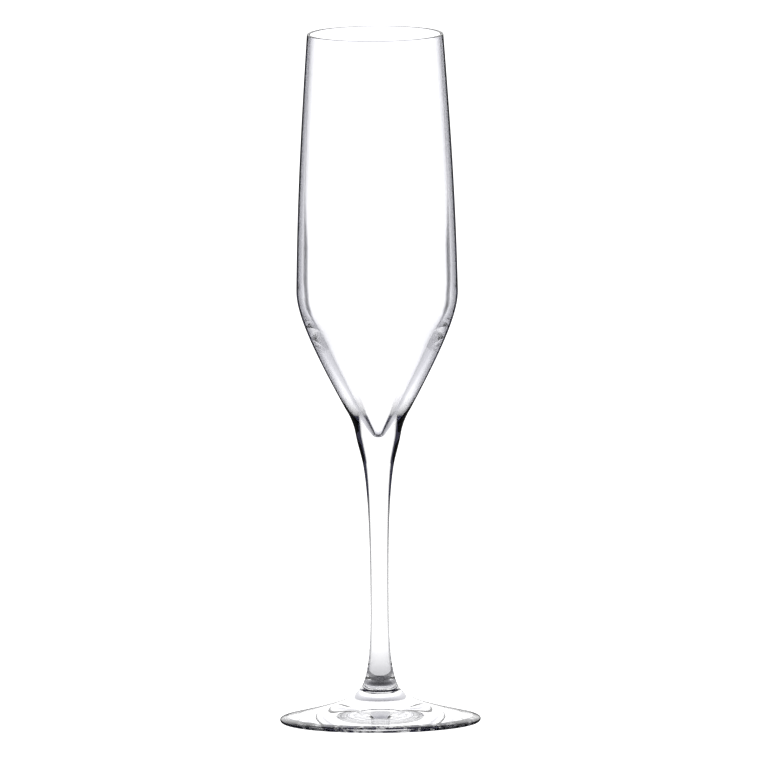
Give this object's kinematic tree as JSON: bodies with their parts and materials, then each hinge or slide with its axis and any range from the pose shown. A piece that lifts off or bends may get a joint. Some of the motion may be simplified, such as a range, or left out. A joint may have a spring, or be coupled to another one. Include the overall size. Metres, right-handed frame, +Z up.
{
  "type": "champagne flute",
  "caption": "Tall clear glass flute: slim bowl with a V-shaped bottom on a drawn stem and a low conical foot.",
  "frame": {"origin": "centre of the circle that the foot stands on", "axes": "+Z up along the axis of bowl, stem and foot; X and Y are any two directions across it, since it is round"},
  "size_m": [0.066, 0.066, 0.228],
  "materials": {
    "bowl_glass": "fire-polished clear glass",
    "stem_glass": "drawn clear glass",
    "foot_glass": "pressed clear glass with faint ripples"
  },
  "bodies": {
    "root": {"bowl": "bowl_glass", "stem": "stem_glass", "foot": "foot_glass"}
  },
  "joints": []
}
